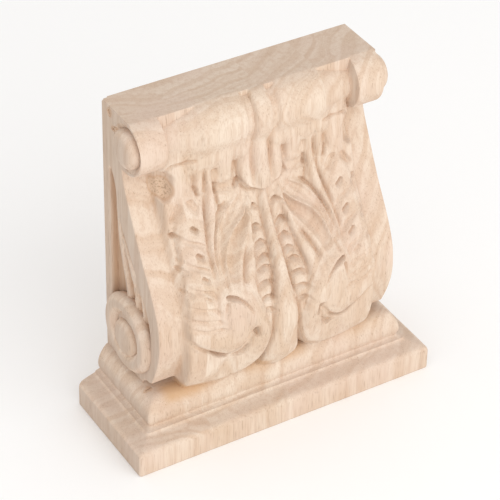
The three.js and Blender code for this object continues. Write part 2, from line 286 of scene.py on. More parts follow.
# %% Slot, eye and hollow of the scroll
cuts += [
    Stroke([[36.4, 97.4], [33, 96], [30, 94.4], [27.2, 91.8], [25, 88.8], [23, 85]],
           [5.5, 6, 4.2, 3, 2.2, 1], [1.6, 1.9, 1.2, 0.9, 0.8, 0.7], [1.4, 1.5, 1, 0.8, 0.7, 0.6],
           bend=3),
    Stroke([[34.6, 106], [35.2, 101.8]], [1.5, 3], 0.8, 0.8),
    Stroke([[37.3, 94], [38.2, 89.6], [38.8, 84]], [3, 2.4, 0.8], 1, 1),
    Stroke([[20.8, 73.8], [20, 70.6], [19.5, 68]], [4.5, 6, 4.5], 1.2, 1.3, bend=3),
    Stroke([[23.6, 69.6], [26, 66], [28.8, 62.8], [31.8, 60.2], [35.6, 58.9], [40.5, 59.8],
            [46, 63.8], [51, 67.4], [56, 71.8], [59, 75]],
           [1.5, 2, 3, 5.2, 7, 7, 4.6, 3, 2.6, 3], [1.4, 1.6, 2, 2.6, 3, 2.8, 2.2, 2, 2, 2],
           [1, 1, 1, 1.1, 1.2, 1.2, 1.1, 1.1, 1.2, 1.6]),
    Stroke([[35, 49.5], [36, 44]], 2, 6, 6),
]

# %% Grooves of the curled tip and pockets under the roll
cuts += [
    Stroke([[4.8, 170], [5.6, 160], [5.6, 153], [5, 145.6]], [0.6, 1.7, 1.8, 0.9], 2.4, 2.4,
           bend=1.4),
    Stroke([[13.6, 149], [16.2, 145.5]], 3, [2, 1], [2, 1], bend=2),
    Stroke([[28.8, 151], [28, 145.6]], [1.6, 2.2], [0.8, 1.7], [0.8, 1.7], bend=2),
    Stroke([[40.6, 152.6], [39.6, 148]], 3, 1.2, 1.2, bend=2),
    Stroke([[34.6, 162], [34.4, 155], [34.4, 148]], [0.4, 1.4, 1.8], 1.5, 1.5),
    Stroke([[41.6, 163], [41, 157], [43, 151]], [0.4, 1.3, 1.2], 1.7, 1.7),
    Stroke([[28.2, 156], [27.6, 150]], [0.5, 1.6], 1.4, 1.8),
    Stroke([[16.5, 148], [21, 146.6], [27, 147.8]], [1.4, 2.6, 2.2], 3.2, 3.4),
    Stroke([[13.2, 166], [13.9, 158], [13.6, 150], [11.8, 144.6], [7.6, 141.8], [0, 140.8]],
           [0.6, 2, 2.2, 2.2, 1.6, 1.2], 0.8, 0.9),
    Stroke([[39.5, 169.6], [46, 169.8], [53, 169.6], [56.6, 165.4]], [1.6, 2, 2, 2], 0.7, 1),
    Stroke([[57.2, 161.5], [57.8, 152.5]], [6, 6], [4.6, 4], [4.6, 4], bend=4),
    Stroke([[44.5, 145.5], [41.5, 141]], 2.8, 2.4, 3),
    Stroke([[51.5, 144], [55, 139]], 2.5, 2.5, 2.5),
]

# %% Lobes of the outer leaf
# Eyes, each with the line under it that parts one lobe from the next, and nicks in the outer edge.
for x, z, sink in [(45.4, 132.2, 6.5), (45.8, 119, 6), (46, 107.8, 5.5), (47, 98, 4)]:
    cuts.append(Stroke([[x + 1.4, z + 1.3], [x - 1, z - 0.9]], 0.6 * sink, 1.4, 1.5))
for line in [[[55, 131], [50.5, 127.8], [45, 125.6], [41.6, 122.4], [41.2, 118]],
             [[56, 118.5], [50, 115.4], [45, 113.2], [41.6, 110], [41.4, 106]],
             [[57, 106.5], [51, 104], [46, 102.4], [42.6, 99.6], [42.4, 96]],
             [[57.5, 96], [50, 93.4], [44, 91.6], [40.5, 88]],
             [[58, 89.4], [50, 86.6], [43, 84.6], [39.5, 82.5]],
             [[59, 84], [50, 80.6], [42, 79], [37, 78]]]:
    cuts.append(Stroke(line, [1, 2, 2.1, 1.8, 0.6], 0.7, 2.4))
for x, z in [(55.8, 129.5), (56.4, 113), (57, 102)]:
    cuts.append(Stroke([[x + 2, z + 1], [x - 1, z]], 3, 1.6, 1.6))

# %% Cross cuts beside the midrib
for x, z, long in [(7.4, 132.6, 2.6), (7.6, 122.3, 2.7), (7.4, 114.6, 2.7), (7.6, 108, 3),
                   (8.8, 102.6, 3.4), (10, 95.2, 4), (11, 87.4, 4.2), (11.4, 80.6, 3.4)]:
    cuts.append(Stroke([[x - long, z - 1.2], [x, z + 0.5], [x + long, z - 0.9]], [2.2, 4.4, 2.8],
                       2.6, 0.6))
print(len(cuts), "cuts")

# %% [markdown]
# ## One relief from all strokes
# The body bends in a double curve from the roll down to the foot, and the leaf lies on it. The relief
# is therefore a height in front of that curve. A bump in the material would be quicker, but then the
# outline would stay smooth, and nothing of the carving would be seen from the side.

# %% Relief of the whole panel
band_profile = curve_through([[30, 44], [42, 50.8], [54, 56.2], [66, 59.6], [76, 60.2], [88, 58.4],
                              [103, 51.8], [122, 40.6], [141, 30.9], [158, 23], [172, 20]])
GROUND = 4.4
TIP_HALF, FLUTE_PITCH, FLUTE_DEPTH = 16.5, 11, 2.6
BELLY_LOSS = 0.21


def panel_relief(x, z):
    """Height of the carving in front of the bands: the highest ridge or the sunk ground, less every
    cut, with flutes on the curled tip, running down to the bands at the panel's edge, and a little
    lower on the belly, where the front of the foot leaves less room."""
    a = np.abs(x)
    height = GROUND + 3 * (1 - soft_step(z, 60, 92)) + 6.4 * soft_step(z, 122, 156)
    height = height - 9 * (1 - soft_step(z, 32, 39))
    for ridge in ridges:
        height = ridge.raised(height, a, z)
    on_tip = (a < TIP_HALF) & (z > 141) & (height > 10)
    flutes = FLUTE_DEPTH * (np.abs(np.cos(np.pi * a / FLUTE_PITCH)) - 0.5)
    flutes = flutes * soft_step(z, 140, 147) * (1 - soft_step(z, 164, 176))
    height = np.where(on_tip, height + flutes, height)
    for cut in cuts:
        height = cut.sunk(height, a, z)
    edge = HALF - BAND_WIDTH
    inside = soft_step(edge - a, 0, 3.2)
    room = 1 - BELLY_LOSS * soft_step(band_profile(z), 49, 60.2)
    return height * room * inside - 7 * (1 - soft_step(z, 39.5, 42.5)) * (1 - inside)


def softened(values, rounds=1):
    """Each value mixed with its neighbours, one quarter, one half, one quarter, both ways."""
    for _ in range(rounds):
        values = np.pad(values, 1, mode="edge")
        values = values[:-2] / 4 + values[1:-1] / 2 + values[2:] / 4
        values = values[:, :-2] / 4 + values[:, 1:-1] / 2 + values[:, 2:] / 4
    return values


# The relief is worked out once on a fine grid for one half and then read at any place.
FINE, LOW_Z, HIGH_Z = 0.35, 29.0, 191.0
half_grid = np.meshgrid(np.arange(0, HALF, FINE), np.arange(LOW_Z, HIGH_Z, FINE))
relief_table = softened(panel_relief(*half_grid), 2)
print("relief from", relief_table.min().round(2), "to", relief_table.max().round(2), "mm")


def sampled(table, x, z):
    """Read a fine table of one half at any x and z, blending the four nearest entries."""
    u = np.clip(np.abs(x) / FINE, 0, table.shape[1] - 1.001)
    v = np.clip((z - LOW_Z) / FINE, 0, table.shape[0] - 1.001)
    i, j = u.astype(int), v.astype(int)
    a, b = u - i, v - j
    lower = table[j, i] * (1 - a) + table[j, i + 1] * a
    upper = table[j + 1, i] * (1 - a) + table[j + 1, i + 1] * a
    return lower * (1 - b) + upper * b


# %% [markdown]
# ## The body
# The body is the part a joiner would saw out before the carving: two plain bands, the panel between
# them, and a turned roll under the flat top. It is one closed stack of rings. Each ring runs along the
# carved front, back along one side, across the flat back and forward along the other side. Rings
# were chosen because rows and columns can be laid close where the carving is fine, and because the
# stack closes by itself.

# %% The roll
ROLL_RADIUS, ROLL_FORWARD, ROLL_Z = 16.9, 24.6, HEIGHT - 16.4
EDGE_ROUND = 0.9
ROLL_BLEND = 4.5


def edge_fall(a):
    """How far the front falls back near the sides, where a quarter round breaks its edge: the radius
    less the root of the radius squared minus the way into the round squared."""
    over = np.maximum(a - (HALF - EDGE_ROUND), 0)
    return EDGE_ROUND - np.sqrt(np.maximum(EDGE_ROUND**2 - over**2, 0))


def roll_size(x):
    """Radius of the roll across the body: a strap, a groove, the roll, a cove and the end drum."""
    a = np.abs(x)
    groove = 2.1 * soft_step(a, 4.6, 5.8) * (1 - soft_step(a, 8.4, 11))
    cove = 6.2 * np.clip((a - 37) / 20, 0, 1) ** 0.8 * (1 - soft_step(a, 57.4, 59.4))
    return ROLL_RADIUS + 0.8 * (1 - soft_step(a, 3.8, 5.2)) - groove - cove - edge_fall(a)


def front_distance(x, z):
    """How far the front stands before the back: the carved panel or the circle of the roll,
    whichever is further, with the corner between them filled."""
    panel = band_profile(z) + sampled(relief_table, x, z)
    r = roll_size(x)
    lift = r * r - (z - ROLL_Z) ** 2
    roll = ROLL_FORWARD + np.sqrt(np.maximum(lift, 0))
    return np.where(lift > 0, soft_max(panel, roll, ROLL_BLEND), panel)


print("roll radius", roll_size(np.array([0, 7, 30, 57, 65])).round(1), "at 0, 7, 30, 57 and 65 mm")


# %% Columns and rows of the front
TOP_DEPTH = 30.6
GRID = 0.6
panel_half = HALF - BAND_WIDTH
column_step = 2 * panel_half / round(2 * panel_half / GRID)
panel_x = np.arange(-panel_half, panel_half + GRID / 2, column_step)
band_x = np.r_[np.linspace(panel_half, HALF - EDGE_ROUND, 9)[1:],
               HALF - np.array([0.5, 0.22, 0.06, 0])]
front_x = np.r_[-band_x[::-1], panel_x, band_x]
LOWEST_ROW = FOOT_HEIGHT - 6
wall_z = np.linspace(LOWEST_ROW, ROLL_Z, round((ROLL_Z - LOWEST_ROW) / GRID) + 1)
fx, fz = np.meshgrid(front_x, wall_z)
forward = front_distance(fx, fz) - edge_fall(np.abs(fx))
print(len(front_x), "columns and", len(wall_z), "rows below the roll's axis")

# %% Rows that turn round the roll
# Where the roll is full it runs into the flat top. Where it is cut back, a small wall and a rounded
# edge stand above it.
radius = roll_size(front_x)
turn = np.linspace(0, 1, 17)[1:, None] * np.arccos((TOP_DEPTH - ROLL_FORWARD) / radius)[None]
roll_forward = ROLL_FORWARD + radius * np.cos(turn)
roll_z = np.minimum(ROLL_Z + radius * np.sin(turn), HEIGHT - 0.05)
full = soft_step(roll_z[-1:], HEIGHT - 1.6, HEIGHT - 0.8)
arc = np.radians([25, 50, 70, 90])[:, None]
edge_z = np.maximum(roll_z[-1:], HEIGHT - 0.6)
wall_back, level_back = 0.6 * (1 - np.cos(arc)), 1.9 * arc / arc[-1]
top_forward = TOP_DEPTH - wall_back - full * (level_back - wall_back)
top_z = edge_z + full * (roll_z[-1:] - edge_z)
top_z = top_z + (HEIGHT - top_z) * np.sin(arc)
forward = np.vstack([forward, roll_forward, top_forward])
height = np.vstack([fz, roll_z, top_z])
print("front grid", forward.shape)

# %% [markdown]
# ## The carved sides
# Each side has a sunk ground between a strip along the back and a scrolling ribbon, with a leaf
# sprig standing in it. A cut with a Boolean would do for the flat ground, but not for the leaves, so
# the side is a relief as well. Its columns follow the ribbon's inner edge, which keeps that edge crisp.

# %% Leaf sprig of a side
RECESS = 5.0
STRIP_WIDTH = 6.0
ribbon_inside = curve_through([[60, 50], [78, 49], [95, 42], [112, 30], [135, 15.5], [150, 13],
                               [162, 9]])
sprig = [
    Stroke([[15.5, 140], [15, 128], [18, 114], [22, 102], [25, 90], [26, 76]],
           [0.2, -0.4, 0, 0.3, 0.3, 0.3], [2, 3.5, 4, 4.5, 4.5, 4], [2, 3, 3, 2.6, 2.4, 2.4], fall=3),
    Stroke([[17, 122], [24, 113], [30, 103], [33, 92], [34, 78]], [-1.5, 0, 0.4, 0.4, 0.3],
           [2, 2.6, 3, 3, 3], [2, 3, 3.4, 3.4, 3], fall=3),
    Stroke([[30, 108], [36, 100], [40, 90], [41, 78]], [-1.6, -0.4, -0.2, -0.2], [2, 2.6, 2.6, 2.6],
           [2, 3, 3, 2.6], fall=3),
]
sprig_cuts = [Stroke([[28.6, 99], [29.4, 92], [30, 86]], [3.5, 5, 3.5], 2, 2, bend=2.5),
              Stroke([[24, 110], [23.5, 103]], [2, 2], 1.4, 1.4)]
print(len(sprig), "leaves and", len(sprig_cuts), "cuts on a side")


# %% Relief of a side
def side_relief(f, z):
    """Height of a side over its flat, at f in front of the back: sunk inside the ribbon, with the
    sprig's leaves standing nearly level with the ribbon."""
    inner = ribbon_inside(z)
    sunk = soft_step(f, STRIP_WIDTH, STRIP_WIDTH + 1) * (1 - soft_step(f, inner - 1, inner))
    sunk = sunk * soft_step(z, 62, 66) * (1 - soft_step(z, 154, 162))
    low = np.full(f.shape, -RECESS)
    for leaf in sprig:
        low = leaf.raised(low, f, z)
    for cut in sprig_cuts:
        low = cut.sunk(low, f, z)
    return np.clip(low, -RECESS - 1, 0.4) * sunk


print("side sinks to", side_relief(*np.mgrid[0:50, 60:160].astype(float)).min().round(2), "mm")

# %% Rings of the body
row_z = height[:, -1:]
front_edge = forward[:, -1:]
inner_edge = np.minimum(ribbon_inside(row_z), front_edge - 3)
strip_in, strip_out = STRIP_WIDTH + 1 + 0 * inner_edge, STRIP_WIDTH + 0 * inner_edge
# How many columns each stretch of the side has, and where it starts and ends.
stretches = [(8, front_edge, inner_edge),
             (3, inner_edge, inner_edge - 1),
             (24, inner_edge - 1, strip_in),
             (2, strip_in, strip_out),
             (3, strip_out, 0 * inner_edge)]
side_f = np.hstack([start + (end - start) * np.linspace(0, 1, count + 1)[None, 1:]
                    for count, start, end in stretches])
side_z = row_z + 0 * side_f
side_x = HALF + softened(side_relief(side_f, side_z))
back_x = np.linspace(HALF, -HALF, 12)[None, 1:-1] + 0 * row_z


def ring_points(x, f, z):
    """Places in the frame of the part from x, the distance in front of the back, and the height."""
    return np.stack([x, BACK_Y - f, z], -1)


front_part = ring_points(front_x[None] + 0 * forward, forward, height)
right_part = ring_points(side_x, side_f, side_z)
back_part = ring_points(back_x, 0 * back_x, row_z + 0 * back_x)
left_part = ring_points(-side_x, side_f, side_z)[:, ::-1]
body_rings = np.concatenate([front_part, right_part, back_part, left_part], 1)
print("body rings", body_rings.shape)


# %% [markdown]
# ## Closed pieces
# Foot, body, buttons and volutes are all made the same way, from a stack of rings, and are then joined
# into one closed surface, as one block of wood is. A plain grid filled with squares would be shorter
# to write, but a square that bends breaks along the wrong diagonal and leaves teeth on the creases.

# %% Meshes from rings
def mesh_from_rings(name, rings):
    """A closed mesh: two triangles between each two places of a ring and of the next, split along
    the shorter diagonal so that creases run clean, and a flat face at each end. Rings run
    anticlockwise seen from the last one, so the faces look outwards."""
    rows, n = rings.shape[:2]
    at = np.arange(rows * n).reshape(rows, n)
    right = np.roll(at, -1, axis=1)
    a, b, c, d = (corner.reshape(-1) for corner in (at[:-1], right[:-1], right[1:], at[1:]))
    flat = rings.reshape(-1, 3)
    length_ac = np.linalg.norm(flat[a] - flat[c], axis=-1)
    length_bd = np.linalg.norm(flat[b] - flat[d], axis=-1)
    along_ac = (length_ac < length_bd)[:, None]
    first = np.where(along_ac, np.stack([a, b, c], -1), np.stack([a, b, d], -1))
    second = np.where(along_ac, np.stack([a, c, d], -1), np.stack([b, c, d], -1))
    faces = np.concatenate([first, second])
    mesh = bpy.data.meshes.new(name)
    ends = [at[0, ::-1].tolist(), at[-1].tolist()]
    mesh.from_pydata((flat / 1000).tolist(), [], faces.tolist() + ends)
    mesh.update()
    made = bpy.data.objects.new(name, mesh)
    bpy.context.scene.collection.objects.link(made)
    return made


def joined(base, others, operation="UNION"):
    """The base with the other pieces added or taken away; the others are removed afterwards."""
    for other in others:
        change = base.modifiers.new(operation, "BOOLEAN")
        change.operation, change.solver, change.object = operation, "MANIFOLD", other
    scene_now = bpy.context.evaluated_depsgraph_get()
    made = bpy.data.meshes.new_from_object(base.evaluated_get(scene_now))
    base.modifiers.clear()
    base.data = made
    for other in others:
        bpy.data.objects.remove(other)
    return base


# %% [markdown]
# ## The foot
# Under the body stands a moulded foot: a square band, a fillet, a quarter round and a hollow that
# leads up to the body. A joiner planes such a moulding along three sides. A bevel could round a box,
# but not follow this section, so the section is listed once and every ring takes one of its points.

# %% The foot
FOOT_BAND = 14.4
CORNER_ROUND, WORN_ROUND = 1.6, 2.6
foot_step = (FOOT_WIDTH - BODY_WIDTH) / 2
# The section: how far in from the widest place, and the height, first of the band's lower edge.
band_edge = [[0.6, 0], [0.15, 0.15], [0, 0.6]]
over_band = np.array([[0, -3], [0.1, -1.6], [0.5, -0.4], [1.3, 0.6], [2.6, 1.3], [4.4, 1.9], [7, 2.6],
                      [9.2, 3.3], [10.2, 3.9], [10.6, 4.7], [11.6, 4.9], [12.9, 5.4], [13.7, 6.4],
                      [13.3, 7.6], [12.8, 9], [12.6, 10.6], [12.8, 12.8], [13.5, 15.2], [14.7, 17.6],
                      [16, 19.6], [17.6, 21.2], [20, 22]])
moulding = np.vstack([band_edge, over_band + [0, FOOT_BAND], [[22, FOOT_HEIGHT]]])
half_x = (HALF + foot_step - moulding[:, 0])[:, None]
front_f = (FOOT_DEPTH - moulding[:, 0])[:, None]
level = moulding[:, 1][:, None]
quarter = np.linspace(0, np.pi / 2, 6)[None]
corner_x = half_x - CORNER_ROUND + CORNER_ROUND * np.sin(quarter)
corner_f = front_f - CORNER_ROUND + CORNER_ROUND * np.cos(quarter)
across = np.linspace(-1, 1, 42)[None, 1:-1] * (half_x - CORNER_ROUND)
down_side = np.linspace(1, 0, 14)[None, 1:-1] * (front_f - CORNER_ROUND)
worn_x = -half_x + WORN_ROUND * (1 - np.cos(quarter))
worn_f = WORN_ROUND * (1 - np.sin(quarter)) + 0 * half_x
foot_x = np.hstack([-corner_x[:, ::-1], across, corner_x, half_x + 0 * down_side, half_x,
                    worn_x[:, ::-1], -half_x + 0 * down_side])
foot_f = np.hstack([corner_f[:, ::-1], front_f + 0 * across, corner_f, down_side, 0 * half_x,
                    worn_f[:, ::-1], down_side[:, ::-1]])
foot = mesh_from_rings("foot", ring_points(foot_x, foot_f, level + 0 * foot_x))
print("foot of", foot_x.shape[0], "rings with", foot_x.shape[1], "places each")


# %% [markdown]
# ## Buttons and volutes
# A domed button sits in a shallow dish on each end of the roll, and a round volute with an eye closes
# the ribbon at the foot of each side. All of them are round, so each is a short section turned about
# an axis, like work on a lathe. A ready-made sphere or cylinder would not have their hollows.

# %% A turned piece
def turned(name, profile, side, f, z, count=64):
    """A round piece on one side, turned about an axis that runs across: its profile lists the
    distance from the axis and the distance out of the side."""
    p = np.asarray(profile, float)
    angle = np.linspace(0, 2 * np.pi, count, endpoint=False)
    x = side * (HALF + p[:, 1:2]) + 0 * angle
    y = BACK_Y - f + p[:, :1] * np.cos(angle) * side
    rings = np.stack([x, y, z + p[:, :1] * np.sin(angle)], -1)
    return mesh_from_rings(name, rings)


# %% Button and dish
BUTTON_RADIUS, BUTTON_PROUD = 13.0, 5.2
RIGHT_BUTTON = 1.5  # how many times as far out the right button stands, as its outline shows
DRUM_MIDDLE = (ROLL_FORWARD + 2.8, ROLL_Z + 0.2)
dome = np.radians(np.linspace(86, 3, 14))[:, None]
dome_radius = BUTTON_RADIUS - 1.8
button_dome = np.hstack([dome_radius * np.sin(dome), BUTTON_PROUD * np.cos(dome) ** 0.8])
button_profile = np.vstack([[dome_radius - 1, -6], [dome_radius, -1.2], button_dome])
dish_profile = [[0.5, -1.6], [dome_radius + 0.2, -1.6], [dome_radius + 0.8, -1.3],
                [14, -0.2], [14.2, 1]]
print("button of", len(button_profile), "places, dish of", len(dish_profile))

# %% Volute and eye
# The volute is a rounded ring round a flat, with a dome that lies low in it.
VOLUTE_RADIUS, VOLUTE_PROUD = 23.8, 3.5
VOLUTE_FORWARD, VOLUTE_Z = 26.8, 61.8
RING_INSIDE = 0.52  # the ring's inner edge as a share of its radius
EYE_RADIUS, EYE_PROUD = 11.8, 4.8
ring = np.linspace(1, RING_INSIDE, 24)
swell = (4 * (ring - RING_INSIDE) * (1 - ring) / (1 - RING_INSIDE) ** 2) ** 0.6
volute_ring = np.stack([ring * VOLUTE_RADIUS, 0.4 + swell * (VOLUTE_PROUD + 0.7)], -1)
volute_profile = np.vstack([[0.96 * VOLUTE_RADIUS, -3], volute_ring, [0.5, 0.6]])
eye_dome = np.hstack([EYE_RADIUS * np.sin(dome), EYE_PROUD * np.cos(dome) ** 0.8])
eye_profile = np.vstack([[EYE_RADIUS - 1, -3], eye_dome])
print("volute of", len(volute_profile), "places, eye of", len(eye_profile))

# %% Round pieces of both sides
rounds, dishes = [], []
for side in (1, -1):
    proud = RIGHT_BUTTON if side > 0 else 1
    dishes.append(turned("dish", dish_profile, side, *DRUM_MIDDLE))
    rounds.append(turned("button", button_profile * [1, proud], side, *DRUM_MIDDLE))
    rounds.append(turned("volute", volute_profile, side, VOLUTE_FORWARD, VOLUTE_Z))
    rounds.append(turned("eye", eye_profile, side, VOLUTE_FORWARD - 2.4, VOLUTE_Z - 5.4))
print(len(rounds), "round pieces and", len(dishes), "dishes")

# %% [markdown]
# ## Wear
# The top left corner is worn, a splinter is missing beside the button, and a knife has slipped on the
# foot. Painting such marks would leave the outline whole, so small rough lumps are made here and
# taken out of the block.

# %% Chips
def waves(u, v, seed, count, longest, shortest):
    """A gentle unevenness between about -1 and 1: a sum of sine waves in seeded directions."""
    rng = np.random.default_rng(seed)
    turn = rng.uniform(0, 2 * np.pi, (count, 2))
    size = 2 * np.pi / rng.uniform(shortest, longest, count)
    total = np.zeros(np.broadcast(u, v).shape)
    for (heading, phase), k in zip(turn, size):
        total += np.sin(k * (u * np.cos(heading) + v * np.sin(heading)) + phase)
    return total / np.sqrt(count)


def chip(x, f, z, size, seed):
    """A rough lump with three half sizes, to be broken out of the block: a ball whose distance
    from its middle is uneven by a fifth."""
    circle = np.linspace(0, 2 * np.pi, 14, endpoint=False)[None]
    rise = np.radians(np.linspace(-80, 80, 9))[:, None]
    out = [np.cos(rise) * np.cos(circle), np.cos(rise) * np.sin(circle), np.sin(rise) + 0 * circle]
    ball = np.stack(out, -1)
    rough = 1 + 0.2 * waves(ball[..., 0], ball[..., 1] + ball[..., 2], seed, 5, 1.6, 0.7)[..., None]
    return mesh_from_rings("chip", np.array([x, BACK_Y - f, z]) + ball * rough * np.array(size))


# Middle and half sizes of a worn corner, a splinter and torn grain at the top of the left side, and of
# a slip of the knife below.
chip_list = [(-77.1, -1.6, 201.5, (5.2, 5.2, 5.2)),
             (-75.6, 8, 195.8, (1, 1.7, 2.3)),
             (-75.7, 12.2, 187.6, (1.1, 1.5, 1.2)),
             (-75.6, 15.4, 189.4, (0.9, 2.2, 0.8)),
             (-75.7, 18.6, 192, (1, 1.4, 1)),
             (-76, 47.6, 35.8, (3.2, 0.7, 0.9))]
chips = [chip(*place, seed) for seed, place in enumerate(chip_list)]
print(len(chips), "chips")

# %% [markdown]
# ## One block
# A carving has no seams, so the pieces become one closed surface: Boolean modifiers add the foot and
# the round pieces and take away the dishes and chips. The solver called manifold is used because
# every piece is closed, and it is the quickest one then. A box behind the back trims whatever would
# stand through it, so the back stays flat when a size is changed.

# %% One block
bracket = joined(mesh_from_rings("carved_wood", body_rings), dishes, "DIFFERENCE")
bracket = joined(bracket, [foot] + rounds)
bracket = joined(bracket, chips, "DIFFERENCE")
outline = np.array([[-120, -1], [120, -1], [120, 230], [-120, 230]], float)
behind = [np.stack([outline[:, 0], np.full(4, BACK_Y + d), outline[:, 1]], -1) for d in (30, 0)]
bracket = joined(bracket, [mesh_from_rings("behind", np.stack(behind))], "DIFFERENCE")
mesh = bracket.data
points = np.empty(len(mesh.vertices) * 3, np.float32)
mesh.vertices.foreach_get("co", points)
points = points.reshape(-1, 3) * 1000
print("one block,", len(mesh.vertices), "vertices,", len(mesh.polygons), "faces, from",
      points.min(0).round(2), "to", points.max(0).round(2))


# %% [markdown]
# ## How deep each place lies
# The hollows of a carving get a painted warm brown shade. Ambient occlusion in the material could find
# them, but it is slow and noisy. Here each vertex gets one number from the relief itself: how much
# lower it lies than its surroundings, and 0 where it does not; the sunk ground of each side gets
# painted shade as well. A number above 1 marks freshly torn wood.

# %% Hollows of the front
WIDE_LOOK, NEAR_LOOK = 240, 10  # rounds of softening: the surroundings, and the next groove
front_height = front_distance(*half_grid)
around, close = softened(front_height, WIDE_LOOK), softened(front_height, NEAR_LOOK)
near_part = np.clip((close - front_height) / 2.4, -0.2, 0.36)
front_shade = np.clip((around - front_height) / 7 + near_part, -1, 0.62)
print("front hollows from", front_shade.min().round(2), "to", front_shade.max().round(2))

# %% One number for each vertex
x, y, z = points.T
from_edge, forward_of_back = HALF - np.abs(x), BACK_Y - y
on_front = soft_step(forward_of_back, 8, 16) * soft_step(from_edge, 0.2, 1.4)
on_front = on_front * soft_step(z, 33, 38) * (1 - soft_step(z, 188, 192))
on_side = soft_step(np.abs(x), HALF - RECESS - 1, HALF - RECESS) * soft_step(from_edge, 0, 3)
on_side = on_side * soft_step(z, 60, 66) * soft_step(ribbon_inside(z) + 1 - forward_of_back, 0, 1)
on_side = on_side * soft_step(forward_of_back, 4, 6)
# Painted shade: the front's hollows and the whole sunk ground of each side.
shade_and_torn = np.maximum(sampled(front_shade, x, z) * on_front, on_side)
TORN_X, TORN_Z, TORN_DEPTH = -57.3, 155, 1.3
torn_away = np.hypot((x - TORN_X) / 5.2, (z - TORN_Z) / 6.6)
shade_and_torn = shade_and_torn + TORN_DEPTH * (1 - soft_step(torn_away, 0.6, 1.2)) * on_front
for at_x, at_f, at_z, (wide, deep, tall) in chip_list[1:]:
    apart = ((x - at_x) / wide) ** 2 + ((forward_of_back - at_f) / deep) ** 2
    apart = np.sqrt(apart + ((z - at_z) / tall) ** 2)
    shade_and_torn = np.maximum(shade_and_torn, TORN_DEPTH - TORN_DEPTH * soft_step(apart, 0.9, 1.6))
mesh.attributes.new("shade_and_torn", "FLOAT", "POINT").data.foreach_set("value", shade_and_torn.astype(np.float32))
print("deepest", shade_and_torn.max().round(2), "with", (shade_and_torn > 0).mean().round(2), "of it all in hollows")

# %% [markdown]
# ## Sums with sockets
# A material is a web of nodes. Added one by one they hide the sums they make, so this small class
# wraps a socket, and sums can be written as sums. Each operator adds one maths node.

# %% Sums with sockets
timber = bpy.data.materials.new("wood")
timber.use_nodes = True
nodes, links = timber.node_tree.nodes, timber.node_tree.links
nodes.clear()


class Field:
    """One output of the material that can be used in sums with numbers and with other fields."""

    def __init__(self, socket):
        self.socket = socket

    @staticmethod
    def node(kind, inputs, output=0, **settings):
        """Add a node, give it its settings and its inputs, and return one of its outputs."""
        made = nodes.new(kind)
        for key, value in settings.items():
            setattr(made, key, value)
        for key, value in inputs.items():
            if isinstance(value, Field):
                links.new(value.socket, made.inputs[key])
            else:
                made.inputs[key].default_value = value
        return Field(made.outputs[output])

    def maths(self, operation, other=0.0, third=0.0):
        """This field and one or two more numbers or fields put through a maths node."""
        return self.node("ShaderNodeMath", {0: self, 1: other, 2: third}, operation=operation)

    def __add__(self, other):
        return self.maths("ADD", other)

    def __sub__(self, other):
        return self.maths("SUBTRACT", other)

    def __rsub__(self, other):
        return self.maths("MULTIPLY_ADD", -1.0, other)

    def __mul__(self, other):
        return self.maths("MULTIPLY", other)

    def __pow__(self, other):
        return self.maths("POWER", other)

    __radd__ = __add__
    __rmul__ = __mul__

    def step(self, low, high):
        """Rises smoothly from 0 at low to 1 at high."""
        return self.node("ShaderNodeMapRange", {"Value": self, "From Min": low, "From Max": high},
                         interpolation_type="SMOOTHSTEP")


def noise(at, scale, detail=2.0, roughness=0.5):
    """Cloudy noise between 0 and 1 at a place, so many cells to the millimetre."""
    return Field.node("ShaderNodeTexNoise",
                      {"Vector": at, "Scale": scale, "Detail": detail, "Roughness": roughness})


def blend(share, first, second):
    """A colour between two colours; the share is the part of the second one."""
    return Field.node("ShaderNodeMix", {0: share, 6: first, 7: second}, output=2, data_type="RGBA",
                      clamp_factor=True)


def colour(red, green, blue):
    """A colour from red, green and blue shares as they look on a screen."""
    return tuple(((v / 255 + 0.055) / 1.055) ** 2.4 for v in (red, green, blue)) + (1.0,)


def stretched(at, factors):
    """A place with each of its three parts times a factor of its own."""
    return Field.node("ShaderNodeVectorMath", {0: at, 1: factors}, operation="MULTIPLY")


def part(at, letter):
    """One part of a place or direction: X, Y or Z."""
    return Field.node("ShaderNodeSeparateXYZ", {0: at}, output=letter)


# %% [markdown]
# ## The timber
# The wood is pale, unvarnished and straight-grained, with the grain upright. A photograph of wood could
# be laid on it, but would smear where the carving turns. Grain that fills the whole space runs on
# through every cut, as real grain does: growth bands are circles round a far pith, and fibres and
# pores are noise drawn out along the height.

# %% Places, staves and growth bands
place = Field.node("ShaderNodeTexCoord", {}, output="Object")
facing = Field.node("ShaderNodeTexCoord", {}, output="Normal")
mm = stretched(place, (1000.0, 1000.0, 1000.0))
drawn_out = stretched(mm, (1.0, 1.0, 0.045))
sway = noise(stretched(mm, (1.0, 1.0, 0.35)), 0.03, 2.0)
east, north, upright = part(mm, "X"), part(mm, "Y"), part(mm, "Z")

# The block is glued up from staves, each with a shade and a grain of its own.
STAVE_JOINTS = (-49.0, 3.0, 38.0, 52.5)
stave_number = 3.0
for joint in STAVE_JOINTS:
    stave_number = stave_number + east.maths("GREATER_THAN", joint)
stave = Field.node("ShaderNodeTexWhiteNoise", {"W": stave_number}, noise_dimensions="1D")

# Growth bands: distance from the pith, which lies behind the back and to the left.
PITH_X, PITH_Y = -34.0, 118.0
from_pith = ((east - PITH_X) ** 2.0 + (north - PITH_Y) ** 2.0) ** 0.5 + sway * 16.0 + stave * 90.0
bands = Field.node("ShaderNodeTexNoise",
                   {"W": from_pith, "Scale": 0.17, "Detail": 3.0, "Roughness": 0.62},
                   noise_dimensions="1D")
print("timber of", len(STAVE_JOINTS) + 1, "staves")

